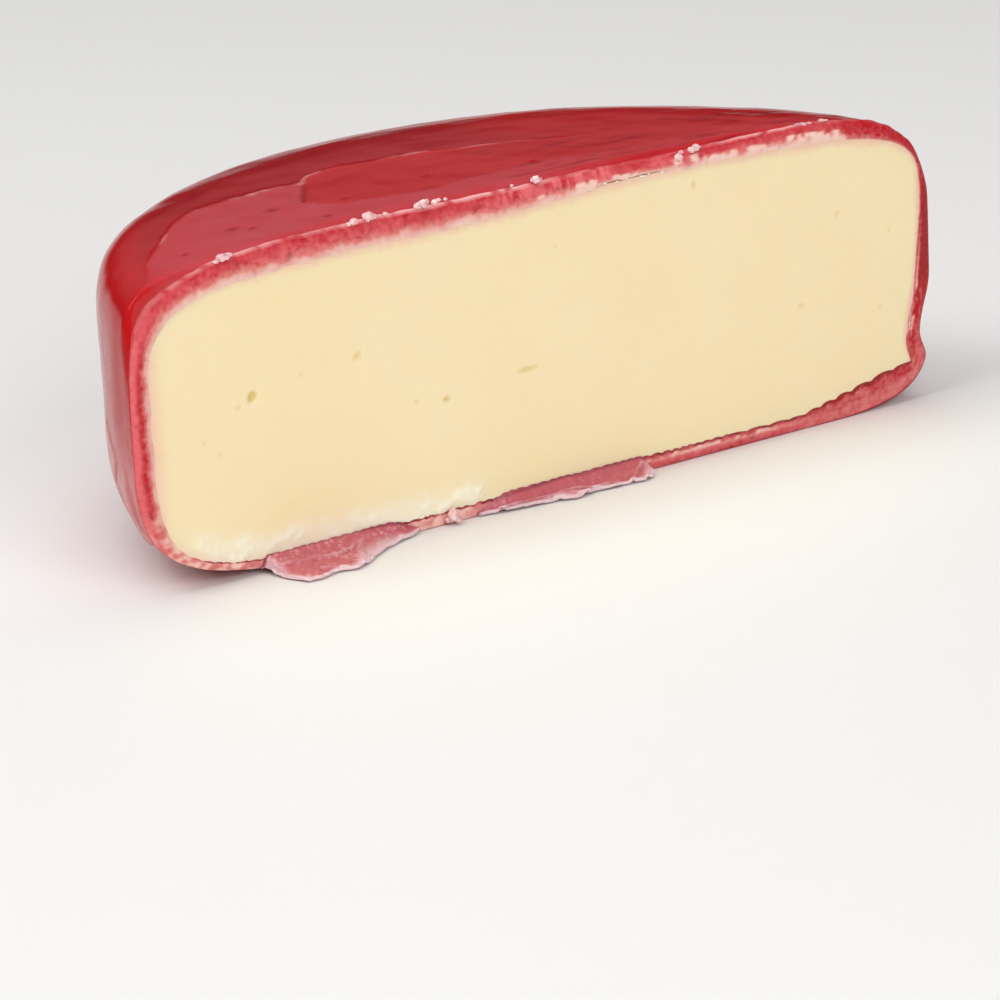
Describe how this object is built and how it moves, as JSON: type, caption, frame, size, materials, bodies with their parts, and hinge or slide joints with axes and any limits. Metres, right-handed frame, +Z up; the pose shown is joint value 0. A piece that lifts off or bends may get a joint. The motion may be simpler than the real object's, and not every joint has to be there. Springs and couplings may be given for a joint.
{
  "type": "waxed cheese half",
  "caption": "Half of a flattened ball of mild yellow cheese in a glossy red wax coat, standing on its flat base with its flat cut face forward.",
  "frame": {"origin": "under the middle of the piece's box, on the surface that it stands on", "axes": "+X along the cut face towards its right end, +Y from the cut face into the cheese, +Z up"},
  "size_m": [0.1384, 0.0662, 0.0474],
  "materials": {
    "paste": "satin, slightly moist cut cheese",
    "wax": "glossy red food wax, matt and paler where it was cut"
  },
  "bodies": {
    "root": {"cheese": "paste", "wax_coat": "wax"}
  },
  "joints": []
}
